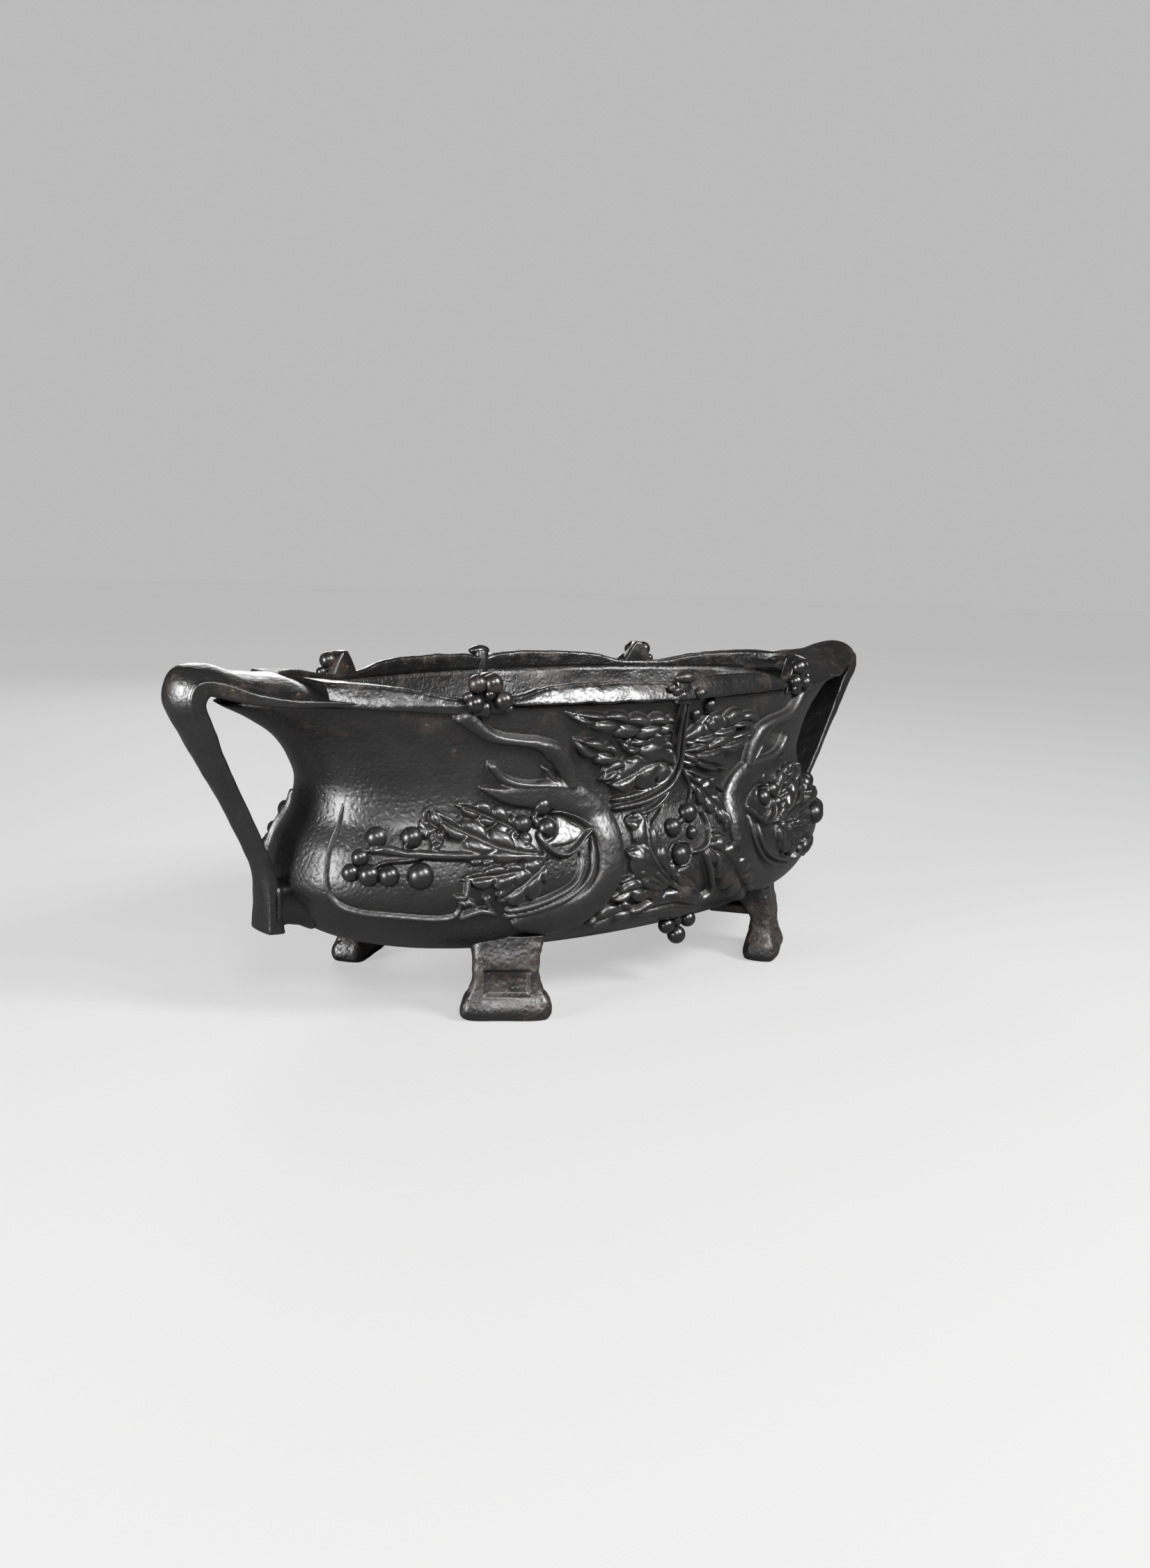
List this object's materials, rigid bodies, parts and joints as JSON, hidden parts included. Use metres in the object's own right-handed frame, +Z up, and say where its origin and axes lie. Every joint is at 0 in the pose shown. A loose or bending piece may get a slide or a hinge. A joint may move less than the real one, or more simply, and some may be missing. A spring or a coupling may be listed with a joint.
{
  "type": "cast iron planter",
  "caption": "Long oval cast iron planter on bracket feet, with strap handles, a waved rim and holly in relief.",
  "frame": {"origin": "on the floor under the middle of the bowl", "axes": "+X towards the right handle along the length, +Y towards the back, +Z up"},
  "size_m": [0.51, 0.201, 0.1846],
  "materials": {
    "bowl_paint": "glossy black paint over rough cast iron, browned on the rim",
    "handle_paint": "glossy black paint over cast iron, worn along the edges",
    "foot_paint": "glossy black paint over rough cast iron, touched with rust",
    "ornament_paint": "glossy black paint over cast relief",
    "screw_iron": "painted iron"
  },
  "bodies": {
    "root": {"bowl": "bowl_paint", "cartouche_frame_back_left": "ornament_paint", "cartouche_frame_back_right": "ornament_paint", "cartouche_frame_front_left": "ornament_paint", "cartouche_frame_front_right": "ornament_paint", "centre_holly_back": "ornament_paint", "centre_holly_front": "ornament_paint", "foot_back_left": "foot_paint", "foot_back_right": "foot_paint", "foot_front_left": "foot_paint", "foot_front_right": "foot_paint", "foot_screws": "screw_iron", "handle_dowels": "screw_iron", "handle_left": "handle_paint", "handle_right": "handle_paint", "handle_screws": "screw_iron", "holly_spray_back_left": "ornament_paint", "holly_spray_back_right": "ornament_paint", "holly_spray_front_left": "ornament_paint", "holly_spray_front_right": "ornament_paint", "pendant_berries_back": "ornament_paint", "pendant_berries_front": "ornament_paint", "rim_band_back": "bowl_paint", "rim_band_front": "bowl_paint", "rim_berries_back_left": "ornament_paint", "rim_berries_back_right": "ornament_paint", "rim_berries_front_left": "ornament_paint", "rim_berries_front_right": "ornament_paint", "rim_crest_back": "ornament_paint", "rim_crest_front": "ornament_paint"}
  },
  "joints": []
}
